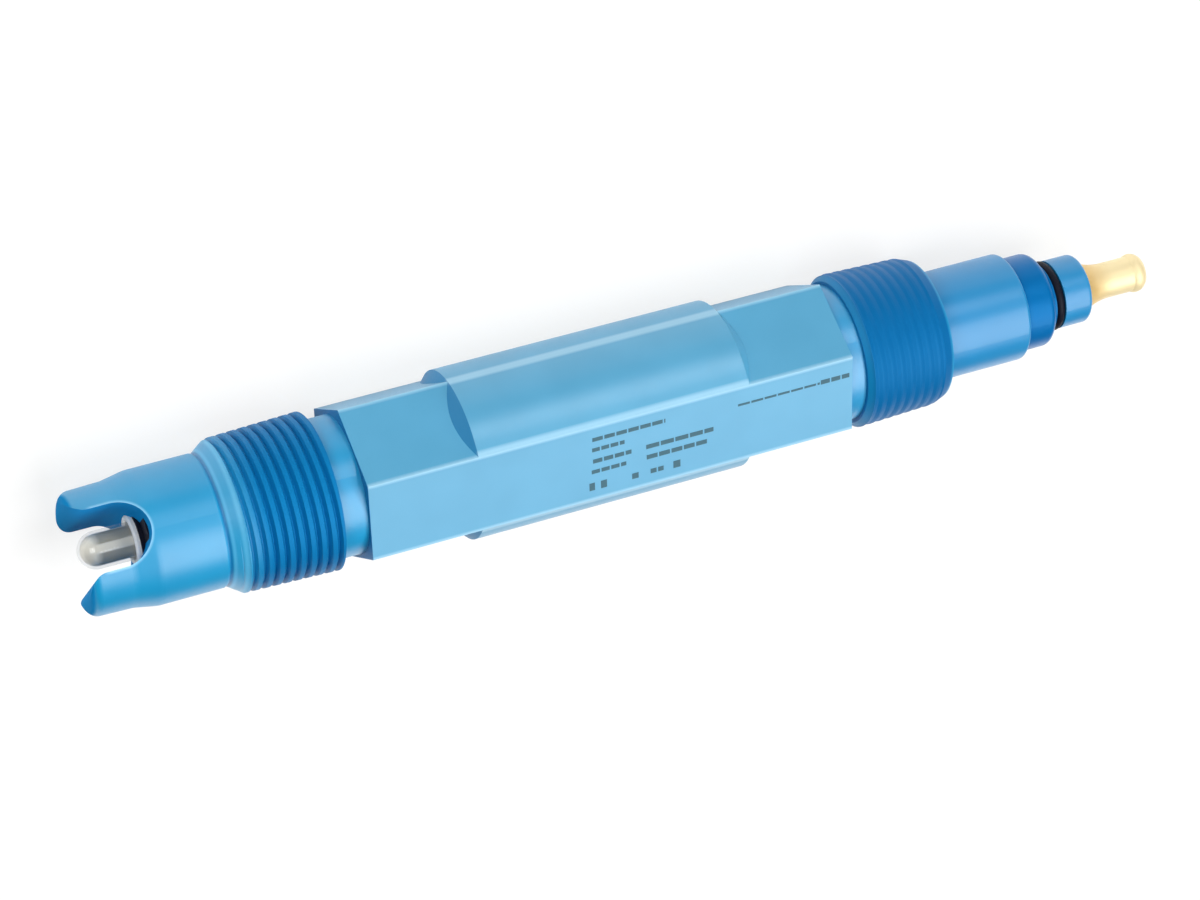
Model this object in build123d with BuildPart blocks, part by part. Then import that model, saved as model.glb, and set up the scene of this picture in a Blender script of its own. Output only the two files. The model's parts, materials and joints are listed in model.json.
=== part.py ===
from build123d import *
import math
import os

os.makedirs("parts", exist_ok=True)

# The axis of the electrode lies along X and the glass bulb points to +X.
# The printed flat faces up. All sizes are in mm.

# Overall lengths along the axis, from the guard tips to the plug end
guard_length = 23.1
front_thread_length = 19.0
front_neck_length = 4.6
hex_length = 87.8
rear_neck_length = 3.1
rear_thread_length = 16.6
head_length = 16.9
step_length = 5.9
nose_length = 8.3
contact_length = 12.7

# Wrench section with its round swell
across_flats = 25.4
swell_full_length = 49.0
neck_d = 23.9

# Taper pipe thread, 14 turns to the inch
thread_pitch = 25.4 / 14
thread_crest_d = 27.25
thread_taper = 1 / 16
thread_flank_angle = 60
thread_crest_flat = 0.80
thread_root_flat = 0.12
groove_overrun = 0.10
groove_lead_in = 0.80
groove_runout = 1.30
rear_crest_flat = 0.50
rear_groove_depth = 0.15
rear_groove_overrun = 0.10
rear_groove_runout = 1.00
front_chamfer_length = 2.8
rear_rim_chamfer = 1.0
rear_chamfer_length = 2.1
rear_end_d = 24.8

# Guard with two prongs
guard_d = 22.8
guard_straight_length = 11.7
guard_relief_length = 0.5
guard_relief_depth = 0.25
prong_shoulder_length = 4.0
prong_root_d = 21.3
prong_tip_d = 20.9
prong_round = 1.8
shoulder_round = 6.0
slot_width = 10.7
slot_length = 11.4
slot_mouth_round = 2.8
slot_turn = 45

# Bores and running clearances
bore_d = 17.0
fit_gap = 0.05
wire_gap = 0.05

# Measuring glass and what is in it
stem_d = 6.4
glass_wall = 0.5
bulb_setback = 0.7
buffer_length = 60.0
inner_wire_d = 0.7
inner_chloride_d = 1.5
inner_chloride_length = 9.0
inner_chloride_setback = 12.0
cap_length = 3.0
cap_plug_length = 4.0

# Junction ring and front seal
junction_d = 8.8
junction_length = 7.0
junction_stand = 1.8
seal_stand = 0.3
lip_d = 10.0
lip_stand = 1.0

# Reference half cell
tube_wall = 1.1
gel_void = 6.0
reference_offset = 5.2
reference_wire_d = 0.7
reference_chloride_d = 1.5
reference_chloride_length = 14.0
reference_chloride_setback = 10.0
bulkhead_length = 9.0
potting_length = 17.4
body_ring_cord = 1.6

# Plug head and contacts
head_d = 19.1
head_edge = 0.6
step_d = 16.7
step_edge = 1.3
nose_d = 12.25
nose_edge = 0.8
shank_length = 11.0
head_cavity_d = 12.0
head_cavity_length = 23.0
plug_ring_cord = 1.7
plug_ring_setback = 1.95
plug_ring_stand = 0.15
sleeve_d = 6.3
sleeve_wall = 0.85
sleeve_shoulder_d = 8.8
sleeve_shoulder_length = 0.5
sleeve_flare_length = 5.0
sleeve_bead_d = 6.9
sleeve_bead_length = 2.6
sleeve_end_edge = 0.9
pin_d = 1.9
pin_setback = 0.8
pin_stand = 0.3
pin_tail = 3.0
lead_straight = 4.0
lead_bend = 4.0
signal_lead_d = 1.3
reference_lead_d = 0.7

# Stations along X, from the tip to the plug end
lengths = [
    guard_length, front_thread_length, front_neck_length, hex_length, rear_neck_length,
    rear_thread_length, head_length, step_length, nose_length, contact_length,
]
overall_length = sum(lengths)
tip_x = overall_length / 2
front_thread_x = tip_x - guard_length
front_rim_x = front_thread_x - front_thread_length
hex_front_x = front_rim_x - front_neck_length
hex_rear_x = hex_front_x - hex_length
hex_mid_x = (hex_front_x + hex_rear_x) / 2
rear_rim_x = hex_rear_x - rear_neck_length
body_rear_x = rear_rim_x - rear_thread_length
head_rear_x = body_rear_x - head_length
step_rear_x = head_rear_x - step_length
nose_rear_x = step_rear_x - nose_length
contact_rear_x = nose_rear_x - contact_length

# The thread crests are the lowest points of the body
axis_height = thread_crest_d / 2
axis = Axis((0, 0, axis_height), (1, 0, 0))
side = Plane(origin=(0, 0, axis_height), x_dir=(1, 0, 0), z_dir=(0, -1, 0))

# The body's outlines are turned about the axis, so that its seam lies clear of the thread ends
seam_turn = 40
body_side = Plane(
    origin=(0, 0, axis_height),
    x_dir=(1, 0, 0),
    z_dir=(0, -math.cos(math.radians(seam_turn)), -math.sin(math.radians(seam_turn))),
)


def face_at(x):
    return Plane(origin=(x, 0, axis_height), x_dir=(0, 1, 0), z_dir=(1, 0, 0))


# Body radii worked out from the sizes above
flat_r = across_flats / 2
corner_r = flat_r / math.cos(math.radians(30))
swell_half = swell_full_length / 2
swell_foot = swell_half + corner_r - flat_r
crest_r = thread_crest_d / 2
taper_slope = thread_taper / 2
front_crest_r = crest_r - taper_slope * (front_thread_length - front_chamfer_length)
rear_crest_r = crest_r - taper_slope * (rear_thread_length - rear_chamfer_length)
flank_slope = math.tan(math.radians(thread_flank_angle / 2))
groove_half = (thread_pitch - thread_crest_flat) / 2
thread_depth = (groove_half - thread_root_flat / 2) / flank_slope
rear_groove_half = (thread_pitch - rear_crest_flat) / 2
rear_flank_slope = (rear_groove_half - thread_root_flat / 2) / rear_groove_depth
taper_angle = math.degrees(math.atan(taper_slope))
relief_r = guard_d / 2 - guard_relief_depth
shoulder_x = front_thread_x + guard_straight_length
prong_x = shoulder_x + prong_shoulder_length
slot_floor_x = tip_x - slot_length
slot_half = slot_width / 2
mouth_x = tip_x - slot_mouth_round
mouth_width = slot_width + 2 * slot_mouth_round
slot_plane = Plane(
    origin=(0, 0, axis_height),
    x_dir=(1, 0, 0),
    z_dir=(0, -math.sin(math.radians(slot_turn)), math.cos(math.radians(slot_turn))),
)
bore_r = bore_d / 2
tube_r = bore_r - fit_gap
stem_r = stem_d / 2

# Stations of the pieces in the bore
bulb_tip_x = tip_x - bulb_setback
bulb_x = bulb_tip_x - stem_r
seal_front_x = slot_floor_x + seal_stand
lip_front_x = slot_floor_x + lip_stand
junction_front_x = slot_floor_x + junction_stand
junction_rear_x = junction_front_x - junction_length
seat_r = junction_d / 2 + fit_gap
lip_seat_r = lip_d / 2 + fit_gap
shank_front_x = body_rear_x + shank_length
bulkhead_rear_x = shank_front_x + potting_length
tube_rear_x = bulkhead_rear_x + bulkhead_length
stem_rear_x = bulkhead_rear_x
shank_mid_x = (body_rear_x + shank_front_x) / 2
cavity_floor_x = shank_front_x - head_cavity_length

# Body: guard, two taper threads, two necks and the wrench section in one moulding
with BuildPart() as electrode_body:
    # Round swell, milled flat on the printed face and on the one opposite
    with BuildSketch(body_side):
        with BuildLine():
            Polyline(
                (hex_mid_x - swell_foot, 0),
                (hex_mid_x - swell_foot, flat_r),
                (hex_mid_x - swell_half, corner_r),
                (hex_mid_x + swell_half, corner_r),
                (hex_mid_x + swell_foot, flat_r),
                (hex_mid_x + swell_foot, 0),
                close=True,
            )
        make_face()
    revolve(axis=axis)
    with BuildSketch(face_at(hex_rear_x)):
        Rectangle(4 * corner_r, across_flats)
    extrude(amount=hex_length, mode=Mode.INTERSECT)
    with BuildSketch(face_at(hex_rear_x)):
        RegularPolygon(radius=corner_r, side_count=6)
    extrude(amount=hex_length)
    # Necks and thread blanks, with the guard blank in front
    with BuildSketch(body_side):
        with BuildLine():
            Polyline(
                (body_rear_x, 0),
                (body_rear_x, rear_end_d / 2),
                (body_rear_x + rear_chamfer_length, rear_crest_r),
                (rear_rim_x - rear_rim_chamfer, crest_r),
                (rear_rim_x, crest_r - rear_rim_chamfer),
                (rear_rim_x, neck_d / 2),
                (front_rim_x, neck_d / 2),
                (front_rim_x, crest_r),
                (front_thread_x - front_chamfer_length, front_crest_r),
                (front_thread_x, relief_r),
                (front_thread_x, 0),
                close=True,
            )
        make_face()
    revolve(axis=axis)
    with BuildSketch(body_side) as guard_profile:
        with BuildLine():
            Polyline(
                (front_thread_x, 0),
                (front_thread_x, relief_r),
                (front_thread_x + guard_relief_length, guard_d / 2),
                (shoulder_x, guard_d / 2),
                (prong_x, prong_root_d / 2),
                (tip_x, prong_tip_d / 2),
                (tip_x, 0),
                close=True,
            )
        make_face()
        tip_corner = guard_profile.vertices().filter_by_position(Axis.X, tip_x - 0.01, tip_x + 0.01)
        fillet(tip_corner.sort_by(Axis.Y)[-1], prong_round)
        fillet(
            guard_profile.vertices().filter_by_position(Axis.X, shoulder_x - 0.01, prong_x + 0.01),
            shoulder_round,
        )
    revolve(axis=axis)
    # Front thread groove, right hand, from the neck to the guard
    with BuildLine() as front_helix:
        Helix(
            pitch=thread_pitch,
            height=groove_lead_in + front_thread_length + groove_runout,
            radius=crest_r + taper_slope * groove_lead_in,
            center=(front_rim_x - groove_lead_in, 0, axis_height),
            direction=(1, 0, 0),
            cone_angle=-taper_angle,
        )
    with BuildSketch(Plane(front_helix.line @ 0, x_dir=(0, 0, 1), z_dir=front_helix.line % 0)):
        with BuildLine():
            Polyline(
                (-thread_depth, -thread_root_flat / 2),
                (groove_overrun, -groove_half - groove_overrun * flank_slope),
                (groove_overrun, groove_half + groove_overrun * flank_slope),
                (-thread_depth, thread_root_flat / 2),
                close=True,
            )
        make_face()
    sweep(path=front_helix.line, is_frenet=True, mode=Mode.SUBTRACT)
    # Rear thread groove, shallow and wide, from the neck to the plug end
    with BuildLine() as rear_helix:
        Helix(
            pitch=thread_pitch,
            height=rear_thread_length + 2 * rear_groove_runout,
            radius=crest_r + taper_slope * rear_groove_runout,
            center=(rear_rim_x + rear_groove_runout, 0, axis_height),
            direction=(-1, 0, 0),
            cone_angle=-taper_angle,
        )
    with BuildSketch(Plane(rear_helix.line @ 0, x_dir=(0, 0, -1), z_dir=rear_helix.line % 0)):
        with BuildLine():
            Polyline(
                (-rear_groove_depth, -thread_root_flat / 2),
                (rear_groove_overrun, -rear_groove_half - rear_groove_overrun * rear_flank_slope),
                (rear_groove_overrun, rear_groove_half + rear_groove_overrun * rear_flank_slope),
                (-rear_groove_depth, thread_root_flat / 2),
                close=True,
            )
        make_face()
    sweep(path=rear_helix.line, is_frenet=True, mode=Mode.SUBTRACT)
    # Bore for the half cells and the slot across the guard
    with BuildSketch(face_at(body_rear_x)):
        Circle(bore_r)
    extrude(amount=seal_front_x - body_rear_x, mode=Mode.SUBTRACT)
    with BuildSketch(face_at(junction_rear_x)):
        Circle(lip_seat_r)
    extrude(amount=lip_front_x + fit_gap - junction_rear_x, mode=Mode.SUBTRACT)
    with BuildSketch(face_at(junction_rear_x)):
        Circle(seat_r)
    extrude(amount=junction_length + fit_gap, mode=Mode.SUBTRACT)
    # The slot has a round floor, and its mouth is rounded off on both prongs
    with BuildSketch(slot_plane):
        with Locations((slot_floor_x + slot_half, 0)):
            Circle(slot_half)
            Rectangle(slot_length, slot_width, align=(Align.MIN, Align.CENTER))
        with Locations((mouth_x, 0)):
            Rectangle(slot_length, mouth_width, align=(Align.MIN, Align.CENTER))
        with Locations((mouth_x, mouth_width / 2), (mouth_x, -mouth_width / 2)):
            Circle(slot_mouth_round, mode=Mode.SUBTRACT)
    extrude(amount=guard_d, both=True, mode=Mode.SUBTRACT)
electrode_body.part.label = "electrode_body"
export_step(electrode_body.part, "parts/electrode_body.step")

# Measuring glass: thin tube closed by a round bulb
stem_bore_r = stem_r - glass_wall
with BuildPart() as measuring_glass:
    with BuildSketch(side):
        with BuildLine():
            Line((stem_rear_x, stem_bore_r), (stem_rear_x, stem_r))
            Line((stem_rear_x, stem_r), (bulb_x, stem_r))
            CenterArc((bulb_x, 0), stem_r, 0, 90)
            Line((bulb_tip_x, 0), (bulb_tip_x - glass_wall, 0))
            CenterArc((bulb_x, 0), stem_bore_r, 0, 90)
            Line((bulb_x, stem_bore_r), (stem_rear_x, stem_bore_r))
        make_face()
    revolve(axis=axis)
measuring_glass.part.label = "measuring_glass"
export_step(measuring_glass.part, "parts/measuring_glass.step")

# Coated end of the inner wire
inner_chloride_x = bulb_tip_x - inner_chloride_setback
inner_chloride_rear_x = inner_chloride_x - inner_chloride_length
with BuildPart() as inner_chloride_tip:
    with BuildSketch(face_at(inner_chloride_rear_x)):
        Circle(inner_chloride_d / 2)
    extrude(amount=inner_chloride_length)
    fillet(inner_chloride_tip.edges().sort_by(Axis.X)[-1], inner_chloride_d / 4)
inner_chloride_tip.part.label = "inner_chloride_tip"
export_step(inner_chloride_tip.part, "parts/inner_chloride_tip.step")

# Filling of the bulb, with room for the wire and its coated end
buffer_r = stem_bore_r - fit_gap
buffer_rear_x = bulb_x - buffer_length
with BuildPart() as inner_buffer:
    with BuildSketch(side):
        with BuildLine():
            Line((buffer_rear_x, 0), (buffer_rear_x, buffer_r))
            Line((buffer_rear_x, buffer_r), (bulb_x, buffer_r))
            CenterArc((bulb_x, 0), buffer_r, 0, 90)
            Line((bulb_x + buffer_r, 0), (buffer_rear_x, 0))
        make_face()
    revolve(axis=axis)
    with BuildSketch(face_at(buffer_rear_x)):
        Circle(inner_wire_d / 2 + wire_gap)
    extrude(amount=inner_chloride_rear_x - buffer_rear_x, mode=Mode.SUBTRACT)
    with BuildSketch(face_at(inner_chloride_rear_x)):
        Circle(inner_chloride_d / 2 + wire_gap)
    extrude(amount=inner_chloride_length + wire_gap, mode=Mode.SUBTRACT)
inner_buffer.part.label = "inner_buffer"
export_step(inner_buffer.part, "parts/inner_buffer.step")

# Closure of the glass stem: a flange on the rim and a plug in the tube
cap_rear_x = stem_rear_x - cap_length
with BuildPart() as stem_cap:
    with BuildSketch(face_at(cap_rear_x)):
        Circle(stem_r)
    extrude(amount=cap_length)
    with BuildSketch(face_at(stem_rear_x)):
        Circle(buffer_r)
    extrude(amount=cap_plug_length)
    with BuildSketch(face_at(cap_rear_x)):
        Circle(inner_wire_d / 2 + wire_gap)
    extrude(amount=cap_length + cap_plug_length, mode=Mode.SUBTRACT)
stem_cap.part.label = "stem_cap"
export_step(stem_cap.part, "parts/stem_cap.step")

# Wire from the coated end to the back of the cap
with BuildPart() as inner_silver_wire:
    with BuildSketch(face_at(cap_rear_x)):
        Circle(inner_wire_d / 2)
    extrude(amount=inner_chloride_rear_x - cap_rear_x)
inner_silver_wire.part.label = "inner_silver_wire"
export_step(inner_silver_wire.part, "parts/inner_silver_wire.step")

# White porous ring round the glass, with its front edge proud of the slot floor
with BuildPart() as junction_ring:
    with BuildSketch(face_at(junction_rear_x)):
        Circle(junction_d / 2)
        Circle(stem_r + fit_gap, mode=Mode.SUBTRACT)
    extrude(amount=junction_length)
    chamfer(junction_ring.edges().group_by(Axis.X)[-1], 0.3)
junction_ring.part.label = "junction_ring"
export_step(junction_ring.part, "parts/junction_ring.step")

# Black seal between the junction ring and the body bore, with a lip round the ring
with BuildPart() as front_seal:
    with BuildSketch(face_at(junction_rear_x)):
        Circle(tube_r)
        Circle(seat_r, mode=Mode.SUBTRACT)
    extrude(amount=seal_front_x - junction_rear_x)
    with BuildSketch(face_at(seal_front_x)):
        Circle(lip_d / 2)
        Circle(seat_r, mode=Mode.SUBTRACT)
    extrude(amount=lip_front_x - seal_front_x)
front_seal.part.label = "front_seal"
export_step(front_seal.part, "parts/front_seal.step")

# Tube that lines the reference chamber
tube_bore_r = tube_r - tube_wall
with BuildPart() as reference_tube:
    with BuildSketch(face_at(tube_rear_x)):
        Circle(tube_r)
        Circle(tube_bore_r, mode=Mode.SUBTRACT)
    extrude(amount=junction_rear_x - tube_rear_x)
reference_tube.part.label = "reference_tube"
export_step(reference_tube.part, "parts/reference_tube.step")

# Reference wire and its coated end, on one side of the glass stem
reference_chloride_x = junction_rear_x - reference_chloride_setback
reference_chloride_rear_x = reference_chloride_x - reference_chloride_length
with BuildPart() as reference_chloride_tip:
    with BuildSketch(face_at(reference_chloride_rear_x)):
        with Locations((reference_offset, 0)):
            Circle(reference_chloride_d / 2)
    extrude(amount=reference_chloride_length)
reference_chloride_tip.part.label = "reference_chloride_tip"
export_step(reference_chloride_tip.part, "parts/reference_chloride_tip.step")
with BuildPart() as reference_silver_wire:
    with BuildSketch(face_at(bulkhead_rear_x)):
        with Locations((reference_offset, 0)):
            Circle(reference_wire_d / 2)
    extrude(amount=reference_chloride_rear_x - bulkhead_rear_x)
reference_silver_wire.part.label = "reference_silver_wire"
export_step(reference_silver_wire.part, "parts/reference_silver_wire.step")

# Gel between the glass stem and the chamber tube, with a small void left at its rear
gel_rear_x = tube_rear_x + gel_void
with BuildPart() as reference_gel:
    with BuildSketch(face_at(gel_rear_x)):
        Circle(tube_bore_r - fit_gap)
        Circle(stem_r + fit_gap, mode=Mode.SUBTRACT)
        with Locations((reference_offset, 0)):
            Circle(reference_wire_d / 2 + wire_gap, mode=Mode.SUBTRACT)
    extrude(amount=junction_rear_x - gel_rear_x)
    with BuildSketch(face_at(reference_chloride_rear_x)):
        with Locations((reference_offset, 0)):
            Circle(reference_chloride_d / 2 + wire_gap)
    extrude(amount=reference_chloride_length + wire_gap, mode=Mode.SUBTRACT)
reference_gel.part.label = "reference_gel"
export_step(reference_gel.part, "parts/reference_gel.step")

# Rear closure of the chamber, with a ring groove and holes for the stem and the wire
cord_r = body_ring_cord / 2
ring_mid_r = tube_r - cord_r
groove_r = ring_mid_r - cord_r - fit_gap
ring_half_groove = cord_r + fit_gap
bulkhead_mid_x = (tube_rear_x + bulkhead_rear_x) / 2
with BuildPart() as chamber_bulkhead:
    with BuildSketch(side):
        with BuildLine():
            Polyline(
                (bulkhead_rear_x, stem_r + fit_gap),
                (bulkhead_rear_x, tube_r),
                (bulkhead_mid_x - ring_half_groove, tube_r),
                (bulkhead_mid_x - ring_half_groove, groove_r),
                (bulkhead_mid_x + ring_half_groove, groove_r),
                (bulkhead_mid_x + ring_half_groove, tube_r),
                (tube_rear_x, tube_r),
                (tube_rear_x, stem_r + fit_gap),
                close=True,
            )
        make_face()
    revolve(axis=axis)
    with BuildSketch(face_at(bulkhead_rear_x)):
        with Locations((reference_offset, 0)):
            Circle(reference_wire_d / 2 + wire_gap)
    extrude(amount=bulkhead_length, mode=Mode.SUBTRACT)
chamber_bulkhead.part.label = "chamber_bulkhead"
export_step(chamber_bulkhead.part, "parts/chamber_bulkhead.step")

# Ring seal of the bulkhead
with BuildPart() as bulkhead_o_ring:
    with BuildSketch(side):
        with Locations((bulkhead_mid_x, ring_mid_r)):
            Circle(cord_r)
    revolve(axis=axis)
bulkhead_o_ring.part.label = "bulkhead_o_ring"
export_step(bulkhead_o_ring.part, "parts/bulkhead_o_ring.step")

# Resin behind the bulkhead, with room for the stem cap and the two leads
with BuildPart() as potting:
    with BuildSketch(face_at(shank_front_x)):
        Circle(tube_r)
        Circle(signal_lead_d / 2 + wire_gap, mode=Mode.SUBTRACT)
        with Locations((reference_offset, 0)):
            Circle(reference_lead_d / 2 + wire_gap, mode=Mode.SUBTRACT)
    extrude(amount=bulkhead_rear_x - shank_front_x)
    with BuildSketch(face_at(cap_rear_x)):
        Circle(stem_r + fit_gap)
    extrude(amount=cap_length, mode=Mode.SUBTRACT)
potting.part.label = "potting"
export_step(potting.part, "parts/potting.step")

# Plug head: shank in the body bore, round head, step, ring groove and nose
sleeve_r = sleeve_d / 2
sleeve_seat_r = sleeve_r + fit_gap
head_r = head_d / 2
step_r = step_d / 2
nose_r = nose_d / 2
cavity_r = head_cavity_d / 2
plug_cord_r = plug_ring_cord / 2
plug_ring_x = step_rear_x - plug_ring_setback
plug_ring_r = nose_r + plug_ring_stand - plug_cord_r
plug_groove_r = plug_ring_r - plug_cord_r - fit_gap
plug_groove_half = plug_cord_r + fit_gap
with BuildPart() as plug_head:
    with BuildSketch(side) as head_profile:
        with BuildLine():
            Polyline(
                (shank_front_x, cavity_r),
                (shank_front_x, tube_r),
                (shank_mid_x + ring_half_groove, tube_r),
                (shank_mid_x + ring_half_groove, groove_r),
                (shank_mid_x - ring_half_groove, groove_r),
                (shank_mid_x - ring_half_groove, tube_r),
                (body_rear_x, tube_r),
                (body_rear_x, head_r),
                (head_rear_x, head_r),
                (head_rear_x, step_r),
                (step_rear_x, step_r),
                (step_rear_x, nose_r),
                (plug_ring_x + plug_groove_half, nose_r),
                (plug_ring_x + plug_groove_half, plug_groove_r),
                (plug_ring_x - plug_groove_half, plug_groove_r),
                (plug_ring_x - plug_groove_half, nose_r),
                (nose_rear_x, nose_r),
                (nose_rear_x, sleeve_seat_r),
                (cavity_floor_x, sleeve_seat_r),
                (cavity_floor_x, cavity_r),
                close=True,
            )
        make_face()
        head_corners = head_profile.vertices().filter_by_position(
            Axis.X, head_rear_x - 0.01, head_rear_x + 0.01
        )
        fillet(head_corners.sort_by(Axis.Y)[-1], head_edge)
        step_corners = head_profile.vertices().filter_by_position(
            Axis.X, step_rear_x - 0.01, step_rear_x + 0.01
        )
        fillet(step_corners.sort_by(Axis.Y)[-1], step_edge)
        nose_corners = head_profile.vertices().filter_by_position(
            Axis.X, nose_rear_x - 0.01, nose_rear_x + 0.01
        )
        fillet(nose_corners.sort_by(Axis.Y)[-1], nose_edge)
    revolve(axis=axis)
plug_head.part.label = "plug_head"
export_step(plug_head.part, "parts/plug_head.step")

# Ring seals of the plug head, one in the body bore and one in front of the nose
with BuildPart() as head_o_ring:
    with BuildSketch(side):
        with Locations((shank_mid_x, ring_mid_r)):
            Circle(cord_r)
    revolve(axis=axis)
head_o_ring.part.label = "head_o_ring"
export_step(head_o_ring.part, "parts/head_o_ring.step")
with BuildPart() as plug_o_ring:
    with BuildSketch(side):
        with Locations((plug_ring_x, plug_ring_r)):
            Circle(plug_cord_r)
    revolve(axis=axis)
plug_o_ring.part.label = "plug_o_ring"
export_step(plug_o_ring.part, "parts/plug_o_ring.step")

# Outer contact: sleeve in the nose with a shoulder, a flare and a bead at its end
sleeve_bore_r = sleeve_r - sleeve_wall
shoulder_r = sleeve_shoulder_d / 2
bead_r = sleeve_bead_d / 2
flare_front_x = nose_rear_x - sleeve_shoulder_length
flare_rear_x = flare_front_x - sleeve_flare_length
bead_front_x = contact_rear_x + sleeve_bead_length
bead_mid_x = contact_rear_x + sleeve_bead_length / 2
with BuildPart() as outer_contact:
    with BuildSketch(side):
        with BuildLine():
            Polyline(
                (bead_front_x, sleeve_r),
                (flare_rear_x, sleeve_r),
            )
            TangentArc((flare_rear_x, sleeve_r), (flare_front_x, shoulder_r), tangent=(1, 0))
            Polyline(
                (flare_front_x, shoulder_r),
                (nose_rear_x, shoulder_r),
                (nose_rear_x, sleeve_r),
                (cavity_floor_x, sleeve_r),
                (cavity_floor_x, sleeve_bore_r),
                (contact_rear_x, sleeve_bore_r),
                (contact_rear_x, bead_r - sleeve_end_edge),
            )
            ThreePointArc(
                (contact_rear_x, bead_r - sleeve_end_edge),
                (bead_mid_x, bead_r),
                (bead_front_x, sleeve_r),
            )
        make_face()
    revolve(axis=axis)
outer_contact.part.label = "outer_contact"
export_step(outer_contact.part, "parts/outer_contact.step")

# Insulator between the sleeve and the pin
insulator_rear_x = contact_rear_x + pin_setback
with BuildPart() as contact_insulator:
    with BuildSketch(face_at(insulator_rear_x)):
        Circle(sleeve_bore_r - fit_gap)
        Circle(pin_d / 2 + fit_gap, mode=Mode.SUBTRACT)
    extrude(amount=cavity_floor_x - insulator_rear_x)
contact_insulator.part.label = "contact_insulator"
export_step(contact_insulator.part, "parts/contact_insulator.step")

# Pin in the middle of the plug, with a tail for the lead
pin_rear_x = insulator_rear_x - pin_stand
pin_front_x = cavity_floor_x + pin_tail
with BuildPart() as centre_contact:
    with BuildSketch(face_at(pin_rear_x)):
        Circle(pin_d / 2)
    extrude(amount=pin_front_x - pin_rear_x)
    fillet(centre_contact.edges().sort_by(Axis.X)[0], pin_d / 5)
centre_contact.part.label = "centre_contact"
export_step(centre_contact.part, "parts/centre_contact.step")

# Lead from the stem cap to the pin
with BuildPart() as signal_lead:
    with BuildSketch(face_at(pin_front_x)):
        Circle(signal_lead_d / 2)
    extrude(amount=cap_rear_x - pin_front_x)
signal_lead.part.label = "signal_lead"
export_step(signal_lead.part, "parts/signal_lead.step")

# Lead from the reference wire to the rear end of the sleeve, bent inside the head
lead_plane = Plane(origin=(0, 0, axis_height), x_dir=(1, 0, 0), z_dir=(0, 0, 1))
sleeve_mid_r = (sleeve_r + sleeve_bore_r) / 2
with BuildPart() as reference_lead:
    with BuildLine(lead_plane) as lead_path:
        FilletPolyline(
            (bulkhead_rear_x, reference_offset),
            (shank_front_x - lead_straight, reference_offset),
            (cavity_floor_x + lead_straight, sleeve_mid_r),
            (cavity_floor_x, sleeve_mid_r),
            radius=lead_bend,
        )
    with BuildSketch(Plane(lead_path.line @ 0, x_dir=(0, 1, 0), z_dir=lead_path.line % 0)):
        Circle(reference_lead_d / 2)
    sweep(path=lead_path.line)
reference_lead.part.label = "reference_lead"
export_step(reference_lead.part, "parts/reference_lead.step")
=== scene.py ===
import json
import math

import bpy
from mathutils import Matrix, Vector


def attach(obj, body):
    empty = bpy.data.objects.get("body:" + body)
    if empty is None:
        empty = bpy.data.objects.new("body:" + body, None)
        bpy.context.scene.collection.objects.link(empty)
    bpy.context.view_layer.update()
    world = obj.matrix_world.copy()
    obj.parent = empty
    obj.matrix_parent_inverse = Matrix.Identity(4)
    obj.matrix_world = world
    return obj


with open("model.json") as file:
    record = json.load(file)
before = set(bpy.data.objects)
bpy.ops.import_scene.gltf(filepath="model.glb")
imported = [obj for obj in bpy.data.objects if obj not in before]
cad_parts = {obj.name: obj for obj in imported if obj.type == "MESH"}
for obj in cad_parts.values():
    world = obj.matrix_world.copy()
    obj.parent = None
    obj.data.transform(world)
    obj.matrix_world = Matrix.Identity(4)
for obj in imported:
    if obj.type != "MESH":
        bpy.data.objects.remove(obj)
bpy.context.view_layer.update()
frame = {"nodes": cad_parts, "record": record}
scene = bpy.context.scene
nodes = frame["nodes"]

MM = 0.001
AXIS_Z = 13.625 * MM
WHITE = (1.0, 1.0, 1.0, 1.0)

# Plastic colours, as 8-bit screen values
GUARD = (14, 147, 198)
SLOT_RIM_HIGHLIGHT = (150, 214, 246)
SLOT_WALL_SHADE = (0, 134, 198)
CONE_HIGHLIGHT = (112, 204, 244)
RELIEF_SHADE = (4, 112, 168)
HEXAGON = (74, 157, 196)
HEX_EDGE_HIGHLIGHT = (170, 216, 238)
TIPWARD_SHADE = (0, 104, 160)
REAR_NECK_SHADE = (44, 150, 200)
FRONT_THREAD_SHADE = (3, 112, 170)
REAR_THREAD_SHADE = (2, 98, 157)
HEAD = (30, 134, 190)
STEP = (4, 102, 166)
# Colour of the gloss on the deep blue zones
TINT = (0.08, 0.45, 0.9, 1.0)

# Zones along the axis, from and to, in mm
HEXAGON_AT = (-35.5, 52.3)
FRONT_NECK_AT = (52.3, 56.8)
REAR_NECK_AT = (-38.6, -35.5)
REAR_THREAD_AT = (-54.9, -39.4)
CONE_AT = (73.2, 75.5)
CONE_WAIST_AT = (73.95, 75.05)
RELIEF_AT = (75.55, 76.15)
STEP_AT = (-79.3, -72.2)
# Middle of the slot's round foot along the axis, in mm
SLOT_FOOT = 92.95
# Turn of the painted reflection streaks in the filling round the axis, in radians
REFLECTION_STREAK_TURN = 2.15


def srgb(red, green, blue):
    """8-bit screen values as a linear colour."""
    out = []
    for value in (red, green, blue):
        c = value / 255.0
        out.append(c / 12.92 if c <= 0.04045 else ((c + 0.055) / 1.055) ** 2.4)
    return tuple(out) + (1.0,)


def paler(colour, step):
    """The colour with each screen value raised by the step."""
    return srgb(*[c + step for c in colour])


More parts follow.
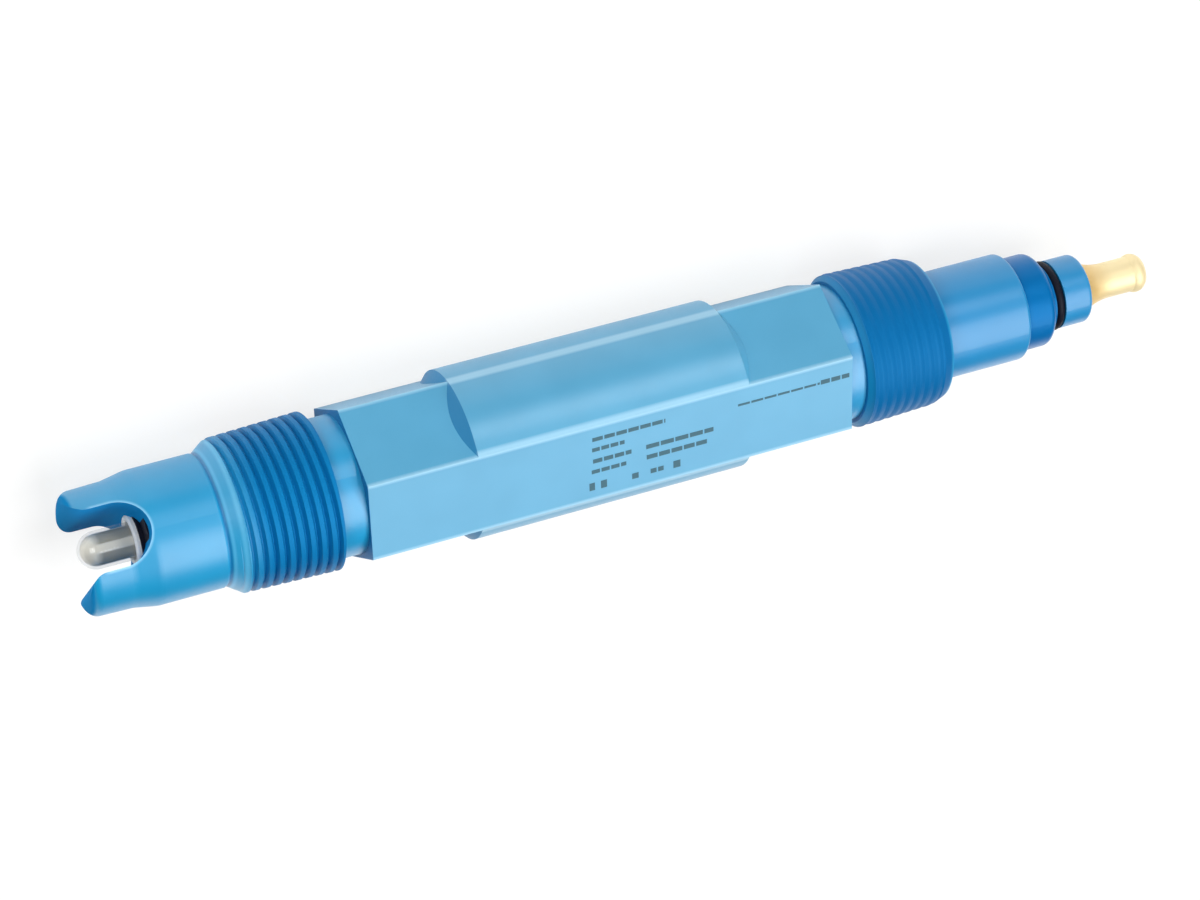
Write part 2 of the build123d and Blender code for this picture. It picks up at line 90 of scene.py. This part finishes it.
class Tree:
    """Short helpers on a node tree."""

    def __init__(self, tree):
        self.tree = tree

    def node(self, kind, **settings):
        made = self.tree.nodes.new(kind)
        for key, value in settings.items():
            setattr(made, key, value)
        return made

    def link(self, a, b):
        self.tree.links.new(a, b)

    def feed(self, socket, value):
        if isinstance(value, bpy.types.NodeSocket):
            self.link(value, socket)
        else:
            socket.default_value = value

    def math(self, op, a, b=0.0):
        made = self.node("ShaderNodeMath", operation=op)
        self.feed(made.inputs[0], a)
        self.feed(made.inputs[1], b)
        return made.outputs[0]

    def times(self, first, *others):
        for other in others:
            first = self.math("MULTIPLY", first, other)
        return first

    def plus(self, first, *others):
        for other in others:
            first = self.math("ADD", first, other)
        return first

    def most(self, first, *others):
        for other in others:
            first = self.math("MAXIMUM", first, other)
        return first

    def ramp(self, value, low, high, to_low=0.0, to_high=1.0, smooth=False):
        made = self.node("ShaderNodeMapRange", clamp=True)
        if smooth:
            made.interpolation_type = "SMOOTHSTEP"
        self.feed(made.inputs["Value"], value)
        for key, number in (("From Min", low), ("From Max", high),
                            ("To Min", to_low), ("To Max", to_high)):
            made.inputs[key].default_value = number
        return made.outputs["Result"]

    def coords(self, name):
        return self.node("ShaderNodeTexCoord").outputs[name]

    def split(self, vector):
        made = self.node("ShaderNodeSeparateXYZ")
        self.link(vector, made.inputs[0])
        return made.outputs

    def seen(self, path):
        """1 on what the camera sees, also through the glass."""
        return self.most(path.outputs["Is Camera Ray"], path.outputs["Is Transmission Ray"])


class Mat(Tree):
    """A node material with a Principled shader."""

    def __init__(self, name):
        self.mat = bpy.data.materials.new(name)
        self.mat.use_nodes = True
        super().__init__(self.mat.node_tree)
        self.bsdf = self.tree.nodes["Principled BSDF"]
        self.coord = self.coords("Object")

    def set(self, **values):
        for key, value in values.items():
            self.bsdf.inputs[key.replace("_", " ")].default_value = value

    def noise(self, scale, detail=3.0, rough=0.5, stretch=None):
        source = self.coord
        if stretch:
            mapping = self.node("ShaderNodeMapping")
            mapping.inputs["Scale"].default_value = stretch
            self.link(self.coord, mapping.inputs["Vector"])
            source = mapping.outputs["Vector"]
        made = self.node("ShaderNodeTexNoise")
        made.inputs["Scale"].default_value = scale
        made.inputs["Detail"].default_value = detail
        made.inputs["Roughness"].default_value = rough
        self.link(source, made.inputs["Vector"])
        return made.outputs["Fac"]

    def mix(self, fac, a, b):
        made = self.node("ShaderNodeMix", data_type="RGBA")
        self.feed(made.inputs[0], fac)
        self.feed(made.inputs[6], a)
        self.feed(made.inputs[7], b)
        return made.outputs[2]

    def paint(self, base, zone, colour, strength=1.0):
        """The base with the colour laid over the zone."""
        return self.mix(self.times(zone, strength), base, srgb(*colour))

    def band(self, x, ends, soft):
        """1 where the position along the axis lies between the ends, in mm."""
        low, high = ends
        up = self.ramp(x, (low - soft) * MM, (low + soft) * MM)
        down = self.ramp(x, (high - soft) * MM, (high + soft) * MM, 1.0, 0.0)
        return self.times(up, down)

    def fade(self, value, low, high):
        """0 at low and 1 at high, both in mm."""
        return self.ramp(value, low * MM, high * MM)

    def facing(self):
        """Which way the surface looks, in the frame's own axes."""
        return self.split(self.node("ShaderNodeNewGeometry").outputs["Normal"])

    def bump(self, height, distance, strength):
        made = self.node("ShaderNodeBump")
        made.inputs["Strength"].default_value = strength
        made.inputs["Distance"].default_value = distance
        self.link(height, made.inputs["Height"])
        self.link(made.outputs["Normal"], self.bsdf.inputs["Normal"])

    def colour(self, socket):
        self.link(socket, self.bsdf.inputs["Base Color"])

    def rough(self, socket):
        self.link(socket, self.bsdf.inputs["Roughness"])

    def tint(self, zone):
        """Blue gloss in the zone and plain gloss outside it."""
        self.link(self.mix(zone, WHITE, TINT), self.bsdf.inputs["Specular Tint"])


def body_material():
    m = Mat("body_plastic")
    x, y, z = m.split(m.coord)
    up = m.math("SUBTRACT", z, AXIS_Z)
    radius = m.math("SQRT", m.plus(m.times(y, y), m.times(up, up)))
    turn = m.math("ARCTAN2", up, y)
    cloud = m.ramp(m.noise(90.0, 2.0), 0.35, 0.65)
    grain = m.noise(2600.0, 4.0, 0.6)
    base = m.mix(cloud, srgb(*GUARD), paler(GUARD, 5))
    hexagon = m.band(x, HEXAGON_AT, 0.1)
    base = m.mix(hexagon, base, m.mix(cloud, srgb(*HEXAGON), paler(HEXAGON, 5)))
    # Painted shade on the rear neck between the hexagon and the collar
    rear_neck = m.band(x, REAR_NECK_AT, 0.1)
    base = m.paint(base, rear_neck, REAR_NECK_SHADE)
    # Painted shade darkens the threads to a deeper blue, and fades in over the first turns
    # of the front one
    front = m.times(m.fade(x, 73.6, 69.5), m.fade(x, 56.7, 56.9))
    front = m.math("POWER", front, 0.6)
    rear = m.band(x, REAR_THREAD_AT, 0.3)
    base = m.paint(base, front, FRONT_THREAD_SHADE)
    base = m.paint(base, rear, REAR_THREAD_SHADE)
    # Painted highlight along the six edges of the wrench section
    corner = m.math("ABSOLUTE", m.math("COSINE", m.times(turn, 3.0)))
    edge_highlight = m.times(m.fade(radius, 14.35, 14.6), m.ramp(corner, 0.97, 0.995), hexagon)
    base = m.paint(base, edge_highlight, HEX_EDGE_HIGHLIGHT, 0.6)
    # Painted highlight: a pale line along the rounded rim of the slot
    across = m.times(m.plus(y, up), math.sqrt(0.5))
    behind = m.math("MINIMUM", m.math("SUBTRACT", x, SLOT_FOOT * MM), 0.0)
    reach = m.math("SQRT", m.plus(m.times(across, across), m.times(behind, behind)))
    tip = m.fade(x, 84.7, 85.7)
    rim_highlight = m.times(m.math("SUBTRACT", 1.0, m.fade(reach, 5.4, 5.85)), tip,
                  m.fade(radius, 10.1, 10.5), m.fade(x, 96.6, 95.6))
    # Painted shade on the walls of the slot and ends of the prongs: all there that doesn't
    # look straight outward
    facing = m.facing()
    outward = m.plus(m.times(facing[1], y), m.times(facing[2], up))
    outward = m.math("DIVIDE", outward, radius)
    wall_shade = m.times(m.ramp(outward, 0.85, 0.6), tip)
    # Painted highlights on the two edges of the lead-in cone of the front thread, and
    # painted shade on the relief line before it
    waist = m.times(m.band(x, CONE_WAIST_AT, 0.2), 0.75)
    cone_highlight = m.math("SUBTRACT", m.band(x, CONE_AT, 0.3), waist)
    base = m.paint(base, cone_highlight, CONE_HIGHLIGHT, 0.5)
    base = m.paint(base, m.band(x, RELIEF_AT, 0.1), RELIEF_SHADE, 0.8)
    # Painted shade: faces that look along the axis towards the tip are painted a deeper,
    # purer blue
    end = m.times(m.ramp(facing[0], 0.45, 0.8), m.fade(x, 56.0, 53.0))
    base = m.paint(base, end, TIPWARD_SHADE, 0.85)
    # Painted highlight on the slot rim
    base = m.paint(base, rim_highlight, SLOT_RIM_HIGHLIGHT, 0.75)
    # Painted shade on the slot walls
    base = m.paint(base, wall_shade, SLOT_WALL_SHADE)
    m.colour(base)
    # The deep zones are duller, the slot walls most, and the necks a little glossier
    matt = m.most(front, rear, wall_shade, end)
    dull = m.plus(m.times(matt, 0.15), m.times(wall_shade, 0.45))
    necks = m.plus(rear_neck, m.band(x, FRONT_NECK_AT, 0.1))
    dull = m.math("SUBTRACT", dull, m.times(necks, 0.02))
    m.rough(m.plus(m.ramp(grain, 0.3, 0.7, 0.35, 0.43), dull))
    m.tint(matt)
    m.bump(grain, 0.01 * MM, 0.3)
    m.set(Specular_IOR_Level=0.8)
    return m.mat


def head_material():
    m = Mat("head_plastic")
    x = m.split(m.coord)[0]
    grain = m.noise(3000.0, 3.0, 0.6)
    base = m.mix(m.noise(120.0, 2.0), srgb(*HEAD), paler(HEAD, 6))
    step = m.band(x, STEP_AT, 0.1)
    m.colour(m.paint(base, step, STEP))
    m.rough(m.ramp(grain, 0.3, 0.7, 0.3, 0.4))
    m.tint(step)
    m.bump(grain, 0.008 * MM, 0.25)
    m.set(Specular_IOR_Level=0.6)
    return m.mat


def glass_material():
    """Thin clear glass: mostly see-through, with a strong gloss."""
    m = Mat("clear_glass")
    streak = m.noise(300.0, 2.0)
    m.colour(m.mix(streak, srgb(196, 202, 204), srgb(214, 219, 221)))
    m.rough(m.ramp(streak, 0.3, 0.7, 0.04, 0.1))
    m.set(Alpha=0.16, IOR=2.2)
    return m.mat


def fill_material():
    """Pale filling with long dark streaks painted on as reflections in the glass tube."""
    m = Mat("buffer_fill")
    x, y, z = m.split(m.coord)
    # Painted reflection: dark streaks turned round the axis
    turn = m.math("ARCTAN2", m.math("SUBTRACT", z, AXIS_Z), y)
    wave = m.math("SINE", m.plus(m.times(turn, 4.0), REFLECTION_STREAK_TURN))
    wobble = m.noise(500.0, 2.0, 0.5, (0.25, 1.0, 1.0))
    streak = m.ramp(m.plus(wave, m.times(wobble, 0.4)), -0.5, 0.1, smooth=True)
    streak = m.times(streak, m.fade(x, 95.9, 94.5))
    m.colour(m.mix(streak, srgb(255, 248, 230), srgb(154, 147, 124)))
    m.rough(m.ramp(wobble, 0.3, 0.7, 0.12, 0.3))
    return m.mat


def gold_material():
    """Soft gold plating, deeper beside the nose and paler towards the end."""
    m = Mat("gold_contact")
    x = m.split(m.coord)[0]
    toward_end = m.ramp(x, -86.5 * MM, -93.0 * MM, smooth=True)
    cloud = m.noise(400.0, 3.0)
    base = m.mix(toward_end, srgb(226, 184, 104), srgb(244, 224, 172))
    m.colour(m.paint(base, cloud, (252, 240, 204), 0.3))
    m.rough(m.ramp(cloud, 0.3, 0.7, 0.42, 0.55))
    m.set(Metallic=0.3)
    return m.mat


def simple_material(name, low, high, scale, rough, bump, **values):
    """Two near colours in a cloud, with a grain in the gloss and the surface."""
    m = Mat(name)
    m.colour(m.mix(m.noise(scale, 3.0), srgb(*low), srgb(*high)))
    grain = m.noise(scale * 6.0, 4.0, 0.6)
    m.rough(m.ramp(grain, 0.3, 0.7, *rough))
    m.bump(grain, bump * MM, 0.5)
    m.set(**values)
    return m.mat


# Name, two colours, size of the cloud, roughness from and to, depth of the grain in mm
SIMPLE = [
    ("chloride", (66, 58, 62), (96, 86, 88), 1500.0, (0.7, 0.9), 0.02),
    ("inner_plastic", (216, 218, 214), (228, 229, 226), 500.0, (0.45, 0.6), 0.01),
    ("white_junction", (232, 233, 232), (246, 246, 244), 1800.0, (0.55, 0.75), 0.03),
    ("gel_fill", (214, 214, 206), (226, 226, 220), 300.0, (0.3, 0.4), 0.01),
    ("potting_resin", (20, 20, 24), (30, 30, 34), 500.0, (0.3, 0.45), 0.01),
    ("lead_cover", (170, 28, 24), (186, 36, 30), 900.0, (0.4, 0.5), 0.01),
]

materials = {row[0]: simple_material(*row) for row in SIMPLE}
materials["silver"] = simple_material("silver", (196, 196, 192), (222, 222, 220), 900.0,
                                      (0.2, 0.35), 0.004, Metallic=1.0)
materials["black_rubber"] = simple_material("black_rubber", (3, 7, 24), (8, 12, 32), 900.0,
                                            (0.5, 0.65), 0.01, Specular_IOR_Level=0.2)
materials["body_plastic"] = body_material()
materials["head_plastic"] = head_material()
materials["clear_glass"] = glass_material()
materials["buffer_fill"] = fill_material()
materials["gold_contact"] = gold_material()

for entry in frame["record"]["subparts"]:
    obj = nodes[entry["node"]]
    obj.data.materials.clear()
    obj.data.materials.append(materials[entry["material_slot"]])

# Plain strokes and squares printed on the top flat, in mm:
# start and end along X, place along Y, height of the stroke, length of one dash
STROKES = [
    (12.7, -0.6, -4.70, 0.75, 1.9), (12.8, 6.9, -2.65, 0.75, 1.4),
    (12.7, 5.7, -0.36, 0.80, 1.7), (13.0, 6.7, 1.72, 0.75, 1.5),
    (3.0, -9.4, -0.40, 0.85, 2.4), (2.95, -8.45, 1.70, 0.85, 2.0),
    (-14.0, -29.3, -3.78, 0.42, 2.2), (-29.5, -34.9, -3.90, 0.85, 1.7),
    (13.5, 12.5, 4.65, 1.5, 2.0), (11.4, 10.3, 4.65, 1.5, 2.0),
    (5.7, 4.5, 4.75, 1.1, 2.0), (2.3, -0.1, 4.70, 0.9, 1.1), (-1.9, -3.2, 4.65, 1.4, 2.0),
]
DASH_GAP = 0.28
SHORTEST_DASH = 0.2
FLAT_Z = 26.325
INK_SUNK = 0.02
INK_HIGH = 0.03


def print_marks():
    """One mesh of thin boxes that stand a little proud of the flat."""
    verts, faces = [], []
    for start, end, y, height, dash in STROKES:
        x = start
        while x > end + SHORTEST_DASH:
            last = max(x - dash, end)
            base = len(verts)
            for z in (FLAT_Z - INK_SUNK, FLAT_Z + INK_HIGH):
                for px, py in ((last, y - height / 2), (x, y - height / 2),
                               (x, y + height / 2), (last, y + height / 2)):
                    verts.append((px * MM, py * MM, z * MM))
            for quad in ((4, 5, 6, 7), (3, 2, 1, 0), (0, 1, 5, 4),
                         (1, 2, 6, 5), (2, 3, 7, 6), (3, 0, 4, 7)):
                faces.append(tuple(base + k for k in quad))
            x = last - DASH_GAP
    mesh = bpy.data.meshes.new("print_marks")
    mesh.from_pydata(verts, [], faces)
    made = bpy.data.objects.new("print_marks", mesh)
    scene.collection.objects.link(made)
    mesh.materials.append(simple_material("print_ink", (42, 88, 104), (54, 102, 118), 1500.0,
                                          (0.5, 0.6), 0.004))
    return made


marks = print_marks()
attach(marks, "root")

# Strength of the floor as the camera sees it, and colour where it lights the part from below
FLOOR_SEEN = 0.78
FLOOR_WHITE = 0.25
FLOOR_BOUNCE = 0.8
# Strength of the floor in the part's gloss, far in front of the part and beside it
FLOOR_GLOSS = (0.15, 0.55)
FLOOR_GLOSS_AT = (-0.06, -0.015)
# Sky: from and to height, strength low and high, and the share left towards +X
SKY_AT = (0.0, 0.7)
SKY = (0.15, 0.6)
SKY_ASIDE = 0.12


def make_floor():
    """White to the camera, with the part's shadow on it."""
    bpy.ops.mesh.primitive_plane_add(size=6.0, location=(0, 0, 0))
    made = bpy.context.object
    made.name = "floor"
    m = Mat("floor")
    m.set(Roughness=0.9, Specular_IOR_Level=0.0, Emission_Color=(1.0, 1.0, 0.99, 1.0))
    path = m.node("ShaderNodeLightPath")
    seen = m.seen(path)
    m.colour(m.ramp(seen, 0.0, 1.0, FLOOR_BOUNCE, FLOOR_WHITE, smooth=True))
    gloss = m.ramp(m.split(m.coord)[1], *FLOOR_GLOSS_AT, *FLOOR_GLOSS, smooth=True)
    gloss = m.times(path.outputs["Is Glossy Ray"], gloss)
    m.link(m.most(m.times(seen, FLOOR_SEEN), gloss), m.bsdf.inputs["Emission Strength"])
    made.data.materials.append(m.mat)


def make_world():
    """White to the camera; for the part a sky that darkens at the horizon and towards +X."""
    world = bpy.data.worlds.new("world")
    scene.world = world
    world.use_nodes = True
    t = Tree(world.node_tree)
    seen = t.seen(t.node("ShaderNodeLightPath"))
    way = t.split(t.coords("Generated"))
    sky = t.times(t.ramp(way[2], *SKY_AT, *SKY, smooth=True),
                  t.ramp(way[0], -0.1, 0.6, 1.0, SKY_ASIDE, smooth=True),
                  t.math("SUBTRACT", 1.0, seen))
    t.link(t.plus(sky, seen), world.node_tree.nodes["Background"].inputs["Strength"])


def lamp(name, direction, distance, across, along, radiance):
    """A soft lamp that looks at the middle of the electrode, one side beside the axis."""
    data = bpy.data.lights.new(name, "AREA")
    data.shape = "RECTANGLE"
    data.size, data.size_y = along, across
    data.energy = radiance * math.pi * across * along
    made = bpy.data.objects.new(name, data)
    scene.collection.objects.link(made)
    way = Vector(direction).normalized()
    side = Vector((1.0, 0.0, 0.0)) - way * way.x
    side.normalize()
    turn = Matrix((side, way.cross(side), way)).transposed()
    middle = Vector((0.0, 0.0, AXIS_Z))
    made.matrix_world = Matrix.Translation(middle + way * distance) @ turn.to_4x4()


make_floor()
make_world()
lamp("top", (-0.32, 0.12, 0.94), 1.0, 1.05, 0.8, 4.55)
lamp("front", (-0.32, -0.78, 0.54), 0.9, 0.3, 0.12, 14.5)
lamp("side", (0.62, -0.50, 0.60), 0.8, 0.4, 0.4, 5.8)

# Camera, from a pinhole fit to the photograph's outline
RIGHT = Vector((-0.91528, 0.02704, 0.40190))
DOWN = Vector((0.24789, 0.82424, 0.50909))
FORWARD = Vector((-0.31750, 0.56559, -0.76112))
EYE = Vector((0.213666, -0.362697, 0.511261))
camera_data = bpy.data.cameras.new("camera")
camera_data.sensor_width = 36.0
camera_data.lens = 115.086
camera_data.clip_start = 0.01
camera = bpy.data.objects.new("camera", camera_data)
scene.collection.objects.link(camera)
camera_turn = Matrix((RIGHT, -DOWN, -FORWARD)).transposed().to_4x4()
camera.matrix_world = Matrix.Translation(EYE) @ camera_turn
scene.camera = camera
scene.view_settings.view_transform = "Standard"
